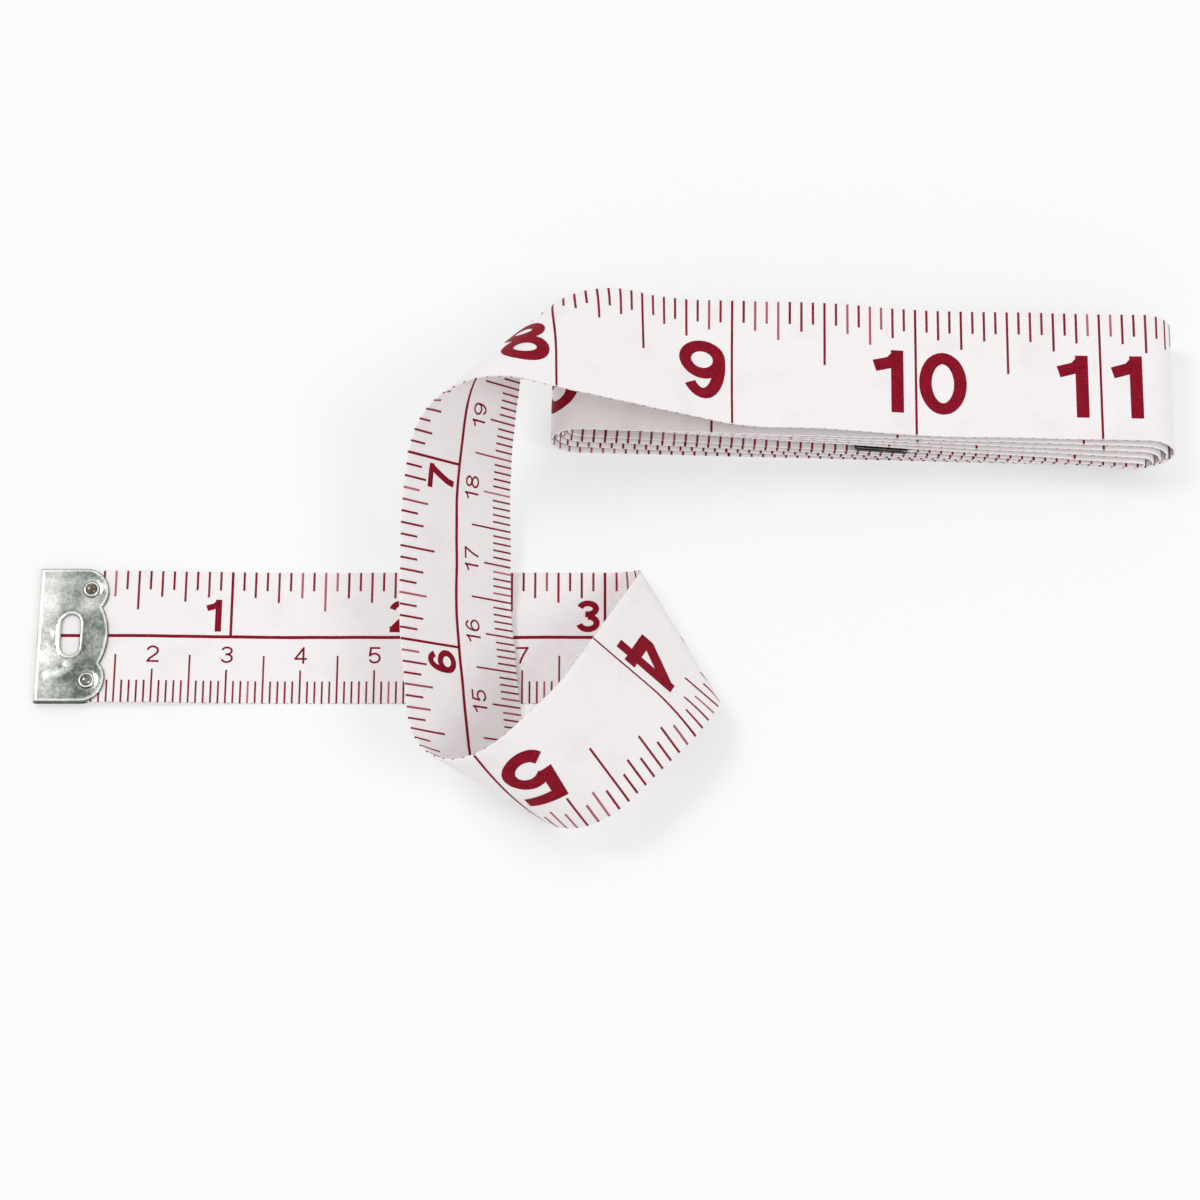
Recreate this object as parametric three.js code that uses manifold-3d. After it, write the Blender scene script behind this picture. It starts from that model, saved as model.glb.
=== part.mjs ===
// Cloth tape measure, 40 inches (1 m) long: one printed vinyl-coated strip with a steel clip riveted
// over each end. It lies as a loose run with three soft folds, and the rest is folded up flat.
// Millimetres, +Z up, +X along the folded bundle. The origin is under the middle of the whole part.

import * as THREE from 'three';
import Module from 'manifold-3d';
import { mergeVertices } from 'three/addons/utils/BufferGeometryUtils.js';

const wasm = await Module();
wasm.setup();

// The tape
const TAPE_LENGTH = 1016;
const TAPE_WIDTH = 19;
const TAPE_THICKNESS = 0.3;
const NODE_GAP = 0.3;

// The steel clip on each end, a blank folded over the tape
const CLIP_SHEET = 0.3;
const CLIP_TAPE_CLEARANCE = 0.1;
const CLIP_SIDE_MARGIN = 0.15;
const CLIP_LENGTH = 9.7;
const LOBE_REACH = 9.5;
const LOBE_RADIUS = 3.1;
const NOTCH_WIDTH = 8.2;
const NOTCH_REACH = 8.7;
const SLOT_LENGTH = 6;
const SLOT_WIDTH = 2.6;
const SLOT_FROM_EDGE = 4.6;

// The two rivets through each clip
const RIVET_FROM_EDGE = 7.1;
const RIVET_FROM_SIDE = 2.9;
const RIVET_SHANK_RADIUS = 0.55;
const RIVET_HEAD_RADIUS = 1.05;
const RIVET_HEAD_HEIGHT = 0.5;
const RIVET_TAIL_RADIUS = 0.95;
const RIVET_TAIL_HEIGHT = 0.25;
const RIVET_HOLE_CLEARANCE = 0.15;
const RIVET_SEAT_CLEARANCE = 0.05;

// The loose run's soft rolls. at: along the tape, turn: from the tape's line to the roll's axis,
// bend: how far it rolls, length: how much tape the roll takes.
const FIRST_FOLD = { at: 87.2, turn: 119, bend: 142, length: 7 };
const TWIST_AFTER_FIRST = { at: 106.2, turn: 57, bend: 42, length: 6 };
const SECOND_FOLD = { at: 128.7, turn: 69, bend: 152.5, length: 20 };
const LEAN_BACK = { at: 158, turn: 105, bend: 9, length: 10 };
const CURL_OVER = { at: 176, turn: 120, bend: 12, length: 10 };
const THIRD_FOLD = { at: 196.6, turn: 130.4, bend: 142, length: 16 };

// Two easy bends that lower the tape: off the clip to the ground, and onto the bundle
const CLIP_STEP = { at: 16, length: 8, between: 4 };
const LEVEL_BEND = { at: 226, length: 8 };
const LANDING = { at: 241.5, length: 10, between: 4 };
const STEEPEST_DESCENT_ANGLE = 50;
const SPLIT_AFTER_LANDING = 1.5;

// The folded bundle: a flat spiral of passes. The run between turns comes as near to its value as a
// whole number of turns allows.
const FIRST_TURN_AFTER_LANDING = 32.5;
const PASS_RUN = 77;
const LAST_PASS_RUN = 40;
const LAYER_GAP = 0.55;
const CORE_CLEARANCE = 0.15;
const PASS_DRIFT_ANGLE = 0.18;

// Steps of the meshes, and of the points on which the layers' gaps are measured
const ROLL_STEP_ANGLE = 7.5;
const LEAST_ROLL_STEPS = 2;
const GAP_POINT_STEP = 1;
const GAP_LINE_SHARES = [-1 / 2, -1 / 4, 0, 1 / 4, 1 / 2];
const LEVELLING_ROUNDS = 20;
const LEAST_TURNS = 3;
const ROUND_SEGMENTS = 20;
const CUT_OVERRUN = 1;

const LAYER_PITCH = TAPE_THICKNESS + LAYER_GAP;
const CLIP_HALF_THICKNESS = TAPE_THICKNESS / 2 + CLIP_TAPE_CLEARANCE + CLIP_SHEET;
const CLIP_WIDTH = TAPE_WIDTH + 2 * CLIP_SIDE_MARGIN;
const CLIPPED_MIDDLE = RIVET_TAIL_HEIGHT + RIVET_SEAT_CLEARANCE + CLIP_HALF_THICKNESS;
const TAPE_END_INSET = CLIP_SHEET + CLIP_TAPE_CLEARANCE;
const RIVET_REACH = CLIP_HALF_THICKNESS + RIVET_SEAT_CLEARANCE + RIVET_HEAD_HEIGHT;
const CORE_RADIUS = TAPE_THICKNESS / 2 + RIVET_REACH + CORE_CLEARANCE;

const vinyl = new THREE.MeshStandardMaterial({ color: 0xf3eaea, roughness: 0.45, metalness: 0 });
const steel = new THREE.MeshStandardMaterial({ color: 0xb9bdb6, roughness: 0.3, metalness: 1 });
const rivetSteel = new THREE.MeshStandardMaterial({ color: 0x8f928a, roughness: 0.35, metalness: 1 });

const degrees = THREE.MathUtils.degToRad;

// A roll of the flat tape about a slanted line. Flat places are (u along, v across, n above).
class Roll {
  constructor({ at, turn, bend, length }) {
    this.origin = new THREE.Vector3(at, 0, 0);
    this.axis = new THREE.Vector3(Math.cos(degrees(turn)), Math.sin(degrees(turn)), 0);
    this.onward = new THREE.Vector3(this.axis.y, -this.axis.x, 0);
    this.bend = degrees(bend);
    this.length = length;
    this.radius = length / this.bend;
  }

  // Distance of a flat place past the middle of the roll, square to its axis
  past(u, v) {
    return (u - this.origin.x) * this.onward.x + v * this.onward.y;
  }

  // The frame of the flat tape once it is rolled as far as the place at this distance
  frameAt(distance) {
    const rolled = THREE.MathUtils.clamp(distance + this.length / 2, 0, this.length);
    const angle = rolled / this.radius;
    const reach = this.radius * Math.sin(angle) - rolled;
    const rise = this.radius * (1 - Math.cos(angle));
    const pivot = this.origin.clone().addScaledVector(this.onward, rolled - this.length / 2);
    const turned = new THREE.Matrix4().makeRotationAxis(this.axis, -angle);
    const place = pivot.clone().addScaledVector(this.onward, reach).setZ(rise);
    return new THREE.Matrix4()
      .makeTranslation(place.x, place.y, place.z)
      .multiply(turned)
      .multiply(new THREE.Matrix4().makeTranslation(-pivot.x, -pivot.y, -pivot.z));
  }

  frameBeyond() {
    return this.frameAt(this.length);
  }

  // The lines across the tape along which it bends: at on the middle line, and at + slope * v beside it
  rulings() {
    const steps = Math.max(LEAST_ROLL_STEPS, Math.ceil(Math.abs(this.bend) / degrees(ROLL_STEP_ANGLE)));
    const { x: sine, y: minusCosine } = this.onward;
    return Array.from({ length: steps + 1 }, (_, step) => ({
      at: this.origin.x + ((step / steps - 1 / 2) * this.length) / sine,
      slope: -minusCosine / sine,
    }));
  }
}

// The whole tape: its rolls in order, each with the frame that the rolls before it have made
class FoldedTape {
  constructor(startFrame) {
    this.rolls = [];
    this.frames = [startFrame];
  }

  get endFrame() {
    return this.frames[this.frames.length - 1];
  }

  add(sizes) {
    const roll = new Roll(sizes);
    this.rolls.push(roll);
    this.frames.push(this.endFrame.clone().multiply(roll.frameBeyond()));
    return roll;
  }

  frameAt(u, v) {
    let index = this.rolls.findIndex((roll) => roll.past(u, v) <= roll.length / 2);
    if (index < 0) index = this.rolls.length;
    const frame = this.frames[index].clone();
    if (index < this.rolls.length) frame.multiply(this.rolls[index].frameAt(this.rolls[index].past(u, v)));
    return frame;
  }

  // A place on the tape, lifted off its middle surface towards the face with both scales
  point(u, v, lift) {
    return new THREE.Vector3(u, v, lift).applyMatrix4(this.frameAt(u, v));
  }
}

// Height lost over two equal and opposite bends, without what lies between them
function bendsDrop(angle, length) {
  return angle > 0 ? 2 * (length / angle) * (1 - Math.cos(angle)) : 0;
}

// Lowers the tape by a drop, leaves it level, and gives the place where it is down. The bends are as
// easy as the drop allows, and past the steepest descent the straight stretch between them grows.
// side is 1 where the two-scale face looks down.
function lower(tape, drop, { at, length, between }, side) {
  const size = Math.abs(drop);
  let [easiest, steepest] = [0, degrees(STEEPEST_DESCENT_ANGLE)];
  const straight = Math.max(between, (size - bendsDrop(steepest, length)) / Math.sin(steepest));
  for (let round = 0; round < LEVELLING_ROUNDS; round += 1) {
    const angle = (easiest + steepest) / 2;
    if (bendsDrop(angle, length) + straight * Math.sin(angle) < size) easiest = angle;
    else steepest = angle;
  }
  const bend = side * Math.sign(drop) * THREE.MathUtils.radToDeg(steepest);
  tape.add({ at, turn: 90, bend, length });
  tape.add({ at: at + length + straight, turn: 90, bend: -bend, length });
  return at + length + straight + length / 2;
}

// One bend about the tape's only level line, which lays its two-scale face flat down
function level(tape, { at, length }) {
  const toFlat = tape.endFrame.clone().invert();
  const down = new THREE.Vector3(0, 0, -1).transformDirection(toFlat);
  const axis = new THREE.Vector3(-down.y, down.x, 0).normalize();
  const angle = Math.acos(THREE.MathUtils.clamp(down.z, -1, 1));
  const turn = THREE.MathUtils.radToDeg(Math.atan2(axis.y, axis.x));
  const upright = THREE.MathUtils.euclideanModulo(turn, 180);
  const sign = Math.abs(upright - THREE.MathUtils.euclideanModulo(turn, 360)) > 1 ? 1 : -1;
  tape.add({ at, turn: upright, bend: sign * THREE.MathUtils.radToDeg(angle), length });
}

// Radii of the bundle's turns, from the outermost in. The last is the tape's end, turned back inside.
function turnRadii(count) {
  return Array.from({ length: count }, (_, index) => {
    const inner = count - 2 - index;
    return inner < 0 ? CORE_RADIUS / 2 : CORE_RADIUS + (inner * LAYER_PITCH) / 2;
  });
}

// The run between turns that leaves the last pass its length
function passRun(radii, firstTurnAt) {
  const arcs = radii.slice(1).reduce((sum, radius, index) => sum + (Math.PI * (radii[index] + radius)) / 2, 0);
  return (TAPE_LENGTH - LAST_PASS_RUN - firstTurnAt - arcs) / (radii.length - 1);
}

// The radii of as many turns as bring the run nearest to the wanted one
function bundleRadii(firstTurnAt) {
  const miss = (count) => Math.abs(passRun(turnRadii(count), firstTurnAt) - PASS_RUN);
  let count = LEAST_TURNS;
  while (miss(count + 1) < miss(count)) count += 1;
  return turnRadii(count);
}

function foldTape() {
  const tape = new FoldedTape(new THREE.Matrix4().makeTranslation(0, 0, CLIPPED_MIDDLE));
  lower(tape, CLIPPED_MIDDLE - TAPE_THICKNESS / 2, CLIP_STEP, -1);
  [FIRST_FOLD, TWIST_AFTER_FIRST, SECOND_FOLD, LEAN_BACK, CURL_OVER, THIRD_FOLD]
    .forEach((roll) => tape.add(roll));
  level(tape, LEVEL_BEND);
  const plannedLanding = LANDING.at + LANDING.between + (LANDING.length * 3) / 2;
  const radii = bundleRadii(plannedLanding + FIRST_TURN_AFTER_LANDING);
  const height = new THREE.Vector3(LANDING.at, 0, 0).applyMatrix4(tape.endFrame).z;
  tape.landedAt = lower(tape, height - 2 * radii[0] - TAPE_THICKNESS / 2, LANDING, 1);
  let at = tape.landedAt + FIRST_TURN_AFTER_LANDING;
  const run = passRun(radii, at);
  radii.forEach((radius, index) => {
    if (index > 0) at += (Math.PI * (radii[index - 1] + radius)) / 2 + run;
    const turn = 90 + (index % 2 ? -PASS_DRIFT_ANGLE : PASS_DRIFT_ANGLE);
    tape.add({ at, turn, bend: 180, length: Math.PI * radius });
  });
  return tape;
}

// Every line across a stretch of the tape along which it bends, between two square ends
function rulingsBetween(tape, start, end) {
  const inside = tape.rolls.flatMap((roll) => roll.rulings()).filter(({ at }) => at > start && at < end);
  return [{ at: start, slope: 0 }, ...inside, { at: end, slope: 0 }];
}

// The tape is flat between two lines, so a closed strip needs only their ends: four corners a line,
// on the two-scale face and the back, with a cap at each end
function stripGeometry(tape, rulings) {
  const corners = [[-1, 1], [1, 1], [1, -1], [-1, -1]];
  const positions = rulings.flatMap(({ at, slope }) => corners.flatMap(([side, face]) => {
    const v = (side * TAPE_WIDTH) / 2;
    return tape.point(at + slope * v, v, (face * TAPE_THICKNESS) / 2).toArray();
  }));
  const faces = [];
  const size = corners.length;
  const last = (rulings.length - 1) * size;
  for (let row = 0; row < last; row += size) {
    for (let corner = 0; corner < size; corner += 1) {
      const [a, b] = [row + corner, row + ((corner + 1) % size)];
      faces.push(a, b + size, b, a, a + size, b + size);
    }
  }
  for (let corner = 1; corner + 1 < size; corner += 1) {
    faces.push(0, corner, corner + 1);
    faces.push(last, last + corner + 1, last + corner);
  }
  const geometry = new THREE.BufferGeometry();
  geometry.setAttribute('position', new THREE.Float32BufferAttribute(positions, 3));
  geometry.setIndex(faces);
  return geometry;
}

function toSolid(geometry) {
  const bare = geometry.clone();
  bare.deleteAttribute('normal');
  bare.deleteAttribute('uv');
  const merged = mergeVertices(bare);
  const mesh = new wasm.Mesh({
    numProp: 3,
    vertProperties: new Float32Array(merged.attributes.position.array),
    triVerts: new Uint32Array(merged.index.array),
  });
  return new wasm.Manifold(mesh);
}

function toGeometry(solid) {
  const mesh = solid.getMesh();
  const geometry = new THREE.BufferGeometry();
  geometry.setAttribute('position', new THREE.BufferAttribute(new Float32Array(mesh.vertProperties), 3));
  geometry.setIndex(new THREE.BufferAttribute(new Uint32Array(mesh.triVerts), 1));
  geometry.computeVertexNormals();
  return geometry;
}

// Where a clip sits: u from its folded edge inwards, v across, n up from the tape's middle
function clipFrame(tape, atEnd) {
  if (!atEnd) return tape.frames[0].clone();
  const frame = tape.endFrame.clone();
  frame.multiply(new THREE.Matrix4().makeTranslation(TAPE_LENGTH, 0, 0));
  return frame.multiply(new THREE.Matrix4().makeRotationZ(Math.PI));
}

const rivetSides = [['inch_edge', 1], ['metric_edge', -1]];

function rivetPlace(side) {
  return new THREE.Vector2(RIVET_FROM_EDGE, side * (CLIP_WIDTH / 2 - RIVET_FROM_SIDE));
}

// The clip's side view: a sheet folded round the tape's end
function foldedSheetShape() {
  const inner = CLIP_HALF_THICKNESS - CLIP_SHEET;
  const shape = new THREE.Shape();
  shape.moveTo(CLIP_LENGTH + CUT_OVERRUN, CLIP_HALF_THICKNESS);
  shape.lineTo(CLIP_HALF_THICKNESS, CLIP_HALF_THICKNESS);
  shape.absarc(CLIP_HALF_THICKNESS, 0, CLIP_HALF_THICKNESS, Math.PI / 2, (3 * Math.PI) / 2, false);
  shape.lineTo(CLIP_LENGTH + CUT_OVERRUN, -CLIP_HALF_THICKNESS);
  shape.lineTo(CLIP_LENGTH + CUT_OVERRUN, -inner);
  shape.lineTo(CLIP_HALF_THICKNESS, -inner);
  shape.absarc(CLIP_HALF_THICKNESS, 0, inner, (3 * Math.PI) / 2, Math.PI / 2, true);
  shape.lineTo(CLIP_LENGTH + CUT_OVERRUN, inner);
  return shape;
}

// The clip's blank from above: straight folded edge, a round lobe at each rivet, a bulge between
function clipOutline() {
  const halfWidth = CLIP_WIDTH / 2;
  const lobeCentre = LOBE_REACH - LOBE_RADIUS;
  const notch = NOTCH_WIDTH / 2;
  const lobeDrop = Math.acos(THREE.MathUtils.clamp((NOTCH_REACH - lobeCentre) / LOBE_RADIUS, -1, 1));
  const bulgeSag = CLIP_LENGTH - NOTCH_REACH;
  const bulgeRadius = (notch * notch + bulgeSag * bulgeSag) / (2 * bulgeSag);
  const bulgeSweep = Math.asin(notch / bulgeRadius);
  const lobeY = notch + LOBE_RADIUS * Math.sin(lobeDrop);
  const shape = new THREE.Shape();
  shape.moveTo(0, -halfWidth);
  shape.lineTo(lobeCentre, -halfWidth);
  shape.absellipse(lobeCentre, -lobeY, LOBE_RADIUS, halfWidth - lobeY, -Math.PI / 2, 0, false);
  shape.absarc(lobeCentre, -lobeY, LOBE_RADIUS, 0, lobeDrop, false);
  shape.absarc(CLIP_LENGTH - bulgeRadius, 0, bulgeRadius, -bulgeSweep, bulgeSweep, false);
  shape.absarc(lobeCentre, lobeY, LOBE_RADIUS, -lobeDrop, 0, false);
  shape.absellipse(lobeCentre, lobeY, LOBE_RADIUS, halfWidth - lobeY, 0, Math.PI / 2, false);
  shape.lineTo(0, halfWidth);
  return shape;
}

function slotShape() {
  const half = (SLOT_LENGTH - SLOT_WIDTH) / 2;
  const slot = new THREE.Shape();
  slot.absarc(SLOT_FROM_EDGE, half, SLOT_WIDTH / 2, 0, Math.PI, false);
  slot.absarc(SLOT_FROM_EDGE, -half, SLOT_WIDTH / 2, Math.PI, 2 * Math.PI, false);
  return slot;
}

// An extrusion right through the clip, from below it to above it
function throughClip(shape) {
  const half = CLIP_HALF_THICKNESS + CUT_OVERRUN;
  const prism = new THREE.ExtrudeGeometry(shape, {
    depth: 2 * half,
    bevelEnabled: false,
    curveSegments: ROUND_SEGMENTS / 2,
  });
  return prism.translate(0, 0, -half);
}

function rivetHole(side) {
  const { x, y } = rivetPlace(side);
  const radius = RIVET_SHANK_RADIUS + RIVET_HOLE_CLEARANCE;
  const half = CLIP_HALF_THICKNESS + CUT_OVERRUN;
  const bore = new THREE.CylinderGeometry(radius, radius, 2 * half, ROUND_SEGMENTS);
  return bore.rotateX(Math.PI / 2).translate(x, y, 0);
}

function clipGeometry() {
  const sheet = new THREE.ExtrudeGeometry(foldedSheetShape(), {
    depth: CLIP_WIDTH + 2 * CUT_OVERRUN,
    bevelEnabled: false,
    curveSegments: ROUND_SEGMENTS / 2,
  });
  sheet.rotateX(Math.PI / 2).translate(0, CLIP_WIDTH / 2 + CUT_OVERRUN, 0);
  let solid = toSolid(sheet).intersect(toSolid(throughClip(clipOutline())));
  solid = solid.subtract(toSolid(throughClip(slotShape())));
  rivetSides.forEach(([, side]) => {
    solid = solid.subtract(toSolid(rivetHole(side)));
  });
  return toGeometry(solid);
}

// A rivet: domed head over the clip, shank through it, and a low peened tail under it
function rivetGeometry() {
  const seat = CLIP_HALF_THICKNESS + RIVET_SEAT_CLEARANCE;
  const outline = [
    new THREE.Vector2(0, -seat - RIVET_TAIL_HEIGHT),
    new THREE.Vector2(RIVET_TAIL_RADIUS - RIVET_TAIL_HEIGHT / 2, -seat - RIVET_TAIL_HEIGHT),
    new THREE.Vector2(RIVET_TAIL_RADIUS, -seat - RIVET_TAIL_HEIGHT / 2),
    new THREE.Vector2(RIVET_TAIL_RADIUS, -seat),
    new THREE.Vector2(RIVET_SHANK_RADIUS, -seat),
    new THREE.Vector2(RIVET_SHANK_RADIUS, seat),
  ];
  const domeSteps = ROUND_SEGMENTS / 4;
  for (let step = 0; step < domeSteps; step += 1) {
    const angle = (step / domeSteps) * (Math.PI / 2);
    const height = seat + RIVET_HEAD_HEIGHT * Math.sin(angle);
    outline.push(new THREE.Vector2(RIVET_HEAD_RADIUS * Math.cos(angle), height));
  }
  outline.push(new THREE.Vector2(0, seat + RIVET_HEAD_HEIGHT));
  return new THREE.LatheGeometry(outline, ROUND_SEGMENTS).rotateX(Math.PI / 2);
}

// The tape's strip with the rivet holes of the clip that it carries
function piercedStrip(tape, start, end, atEnd) {
  let solid = toSolid(stripGeometry(tape, rulingsBetween(tape, start, end)));
  rivetSides.forEach(([, side]) => {
    solid = solid.subtract(toSolid(rivetHole(side).applyMatrix4(clipFrame(tape, atEnd))));
  });
  return toGeometry(solid);
}

// The flat faces of the tape's middle surface, each with the two lines that bound it
function middleFaces(tape) {
  const rulings = rulingsBetween(tape, 0, TAPE_LENGTH);
  const ends = rulings.map(({ at, slope }) => [-1, 1].map((side) => {
    const v = (side * TAPE_WIDTH) / 2;
    return tape.point(at + slope * v, v, 0);
  }));
  return ends.slice(1).flatMap(([c, d], index) => {
    const [a, b] = ends[index];
    const bounds = { from: rulings[index], to: rulings[index + 1] };
    return [new THREE.Triangle(a, b, c), new THREE.Triangle(b, d, c)].map((face) => ({ face, ...bounds }));
  });
}

// Least gap between two layers of the tape: points all over it against the faces of the other layers
function leastLayerGap(tape) {
  const apart = tape.rolls[tape.rolls.length - 1].length;
  const faces = middleFaces(tape);
  const nearest = new THREE.Vector3();
  let least = Infinity;
  for (let u = 0; u < TAPE_LENGTH; u += GAP_POINT_STEP) {
    GAP_LINE_SHARES.forEach((share) => {
      const v = share * TAPE_WIDTH;
      const place = tape.point(u, v, 0);
      faces.forEach(({ face, from, to }) => {
        const sameLayer = u > from.at + from.slope * v - apart && u < to.at + to.slope * v + apart;
        if (!sameLayer) least = Math.min(least, face.closestPointToPoint(place, nearest).distanceTo(place));
      });
    });
  }
  return least - TAPE_THICKNESS;
}

function addMesh(group, name, geometry, material) {
  const mesh = new THREE.Mesh(geometry, material);
  mesh.name = name;
  group.add(mesh);
  return mesh;
}

function addClip(group, tape, name, atEnd) {
  const frame = clipFrame(tape, atEnd);
  const seat = new THREE.Group();
  frame.decompose(seat.position, seat.quaternion, seat.scale);
  addMesh(seat, name, clipGeometry(), steel);
  rivetSides.forEach(([edge, side]) => {
    const rivet = addMesh(seat, `${name}_rivet_${edge}`, rivetGeometry(), rivetSteel);
    const { x, y } = rivetPlace(side);
    rivet.position.set(x, y, 0);
  });
  group.add(seat);
}

const tape = foldTape();
console.log(`least gap between the tape's layers: ${leastLayerGap(tape).toFixed(3)} mm`);

const tapeMeasure = new THREE.Group();
const splitAt = tape.landedAt + SPLIT_AFTER_LANDING;
const looseRun = piercedStrip(tape, TAPE_END_INSET, splitAt, false);
const bundle = piercedStrip(tape, splitAt + NODE_GAP, TAPE_LENGTH - TAPE_END_INSET, true);
addMesh(tapeMeasure, 'tape_loose_run', looseRun, vinyl);
addMesh(tapeMeasure, 'tape_folded_bundle', bundle, vinyl);
addClip(tapeMeasure, tape, 'start_clip', false);
addClip(tapeMeasure, tape, 'end_clip', true);

// The origin goes under the middle of the part
const reach = new THREE.Box3().setFromObject(tapeMeasure);
const middle = reach.getCenter(new THREE.Vector3());
tapeMeasure.position.set(-middle.x, -middle.y, -reach.min.z);
tapeMeasure.updateMatrixWorld(true);

export default tapeMeasure;
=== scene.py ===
"""Cloth tape measure: the printed strip, its riveted end clips, and a plain studio round them."""

import math
import random

import bmesh
import bpy
import numpy as np
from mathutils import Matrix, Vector, noise
from mathutils.geometry import delaunay_2d_cdt


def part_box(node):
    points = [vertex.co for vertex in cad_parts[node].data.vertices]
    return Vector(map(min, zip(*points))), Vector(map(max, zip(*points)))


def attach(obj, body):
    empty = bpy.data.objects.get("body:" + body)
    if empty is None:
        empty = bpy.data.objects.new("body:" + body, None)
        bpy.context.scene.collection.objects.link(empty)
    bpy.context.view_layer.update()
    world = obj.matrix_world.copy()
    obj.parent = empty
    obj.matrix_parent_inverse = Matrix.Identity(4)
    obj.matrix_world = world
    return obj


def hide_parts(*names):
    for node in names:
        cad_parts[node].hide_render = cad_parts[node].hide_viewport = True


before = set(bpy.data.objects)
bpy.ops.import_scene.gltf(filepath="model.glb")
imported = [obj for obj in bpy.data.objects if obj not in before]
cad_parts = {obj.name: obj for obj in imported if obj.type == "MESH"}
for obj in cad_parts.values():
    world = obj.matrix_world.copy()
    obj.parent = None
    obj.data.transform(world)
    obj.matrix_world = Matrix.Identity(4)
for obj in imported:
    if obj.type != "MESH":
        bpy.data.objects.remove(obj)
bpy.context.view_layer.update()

MM = 0.001
INCH = 25.4

# The tape, in millimetres, as its solids have it
TAPE_LENGTH = 1016
TAPE_WIDTH = 19
TAPE_THICKNESS = 0.3
HALF_WIDTH = TAPE_WIDTH / 2
HALF_THICKNESS = TAPE_THICKNESS / 2
EDGE_ROUND = 0.07

# The clips, as their solids have them
CLIP_SHEET = 0.3
CLIP_TAPE_CLEARANCE = 0.1
CLIP_SIDE_MARGIN = 0.15
CLIP_LENGTH = 9.7
LOBE_REACH = 9.5
LOBE_RADIUS = 3.1
NOTCH_WIDTH = 8.2
NOTCH_REACH = 8.7
SLOT_LENGTH = 6
SLOT_WIDTH = 2.6
SLOT_FROM_EDGE = 4.6
RIVET_FROM_EDGE = 7.1
RIVET_FROM_SIDE = 2.9
RIVET_HEAD_RADIUS = 1.05
RIVET_HEAD_HEIGHT = 0.5
RIVET_TAIL_RADIUS = 0.95
RIVET_TAIL_HEIGHT = 0.25
RIVET_SHANK_RADIUS = 0.55
RIVET_SEAT_CLEARANCE = 0.05

# The soft rolls of the loose run, as its solid has them
FIRST_FOLD = dict(at=87.2, turn=119, bend=142, length=7)
TWIST_AFTER_FIRST = dict(at=106.2, turn=57, bend=42, length=6)
SECOND_FOLD = dict(at=128.7, turn=69, bend=152.5, length=20)
LEAN_BACK = dict(at=158, turn=105, bend=9, length=10)
CURL_OVER = dict(at=176, turn=120, bend=12, length=10)
THIRD_FOLD = dict(at=196.6, turn=130.4, bend=142, length=16)
CLIP_STEP = dict(at=16, length=8, between=4)
LEVEL_BEND = dict(at=226, length=8)
LANDING = dict(at=241.5, length=10, between=4)
STEEPEST_DESCENT_ANGLE = 50
FIRST_TURN_AFTER_LANDING = 32.5
PASS_RUN = 77
LAST_PASS_RUN = 40
LAYER_GAP = 0.55
CORE_CLEARANCE = 0.15
PASS_DRIFT_ANGLE = 0.18
LEVELLING_ROUNDS = 20
LEAST_TURNS = 3

LAYER_PITCH = TAPE_THICKNESS + LAYER_GAP
CLIP_HALF_THICKNESS = HALF_THICKNESS + CLIP_TAPE_CLEARANCE + CLIP_SHEET
CLIP_WIDTH = TAPE_WIDTH + 2 * CLIP_SIDE_MARGIN
CLIPPED_MIDDLE = RIVET_TAIL_HEIGHT + RIVET_SEAT_CLEARANCE + CLIP_HALF_THICKNESS
TAPE_END_INSET = CLIP_SHEET + CLIP_TAPE_CLEARANCE
RIVET_REACH = CLIP_HALF_THICKNESS + RIVET_SEAT_CLEARANCE + RIVET_HEAD_HEIGHT
CORE_RADIUS = HALF_THICKNESS + RIVET_REACH + CORE_CLEARANCE

# The camera, aimed from the clip's outer edge, and the photograph's frame
CAMERA_ELEVATION = 68
CAMERA_DISTANCE = 463.7
CAMERA_AIM = (76.3, 5.6)
PHOTO_SIZE = 1200
PHOTO_FOCAL_PIXELS = 3400
SENSOR_WIDTH = 36


def rotated(points, axis, angles):
    """Points turned about an axis through the origin, each by its own angle."""
    cosine, sine = np.cos(angles)[:, None], np.sin(angles)[:, None]
    along = (points @ axis)[:, None] * axis
    return points * cosine + np.cross(axis, points) * sine + along * (1 - cosine)


class Roll:
    """A roll of the flat tape about a slanted line. Flat places are (u along, v across, n above)."""

    def __init__(self, at, turn, bend, length):
        angle = math.radians(turn)
        self.origin = np.array([at, 0.0, 0.0])
        self.axis = np.array([math.cos(angle), math.sin(angle), 0.0])
        self.onward = np.array([self.axis[1], -self.axis[0], 0.0])
        self.bend = math.radians(bend)
        self.length = length
        self.radius = length / self.bend

    def past(self, u, v):
        """How far flat places lie beyond the roll's line."""
        return (u - self.origin[0]) * self.onward[0] + v * self.onward[1]

    def rolled(self, points, distances):
        arc = np.clip(distances + self.length / 2, 0, self.length)
        angles = arc / self.radius
        pivots = self.origin + np.outer(arc - self.length / 2, self.onward)
        reach = np.outer(self.radius * np.sin(angles) - arc, self.onward)
        reach[:, 2] = self.radius * (1 - np.cos(angles))
        return pivots + reach + rotated(points - pivots, self.axis, -angles)

    def slope(self):
        """How far the roll's line moves along the tape for each step across it."""
        return -self.onward[1] / self.onward[0]


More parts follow.
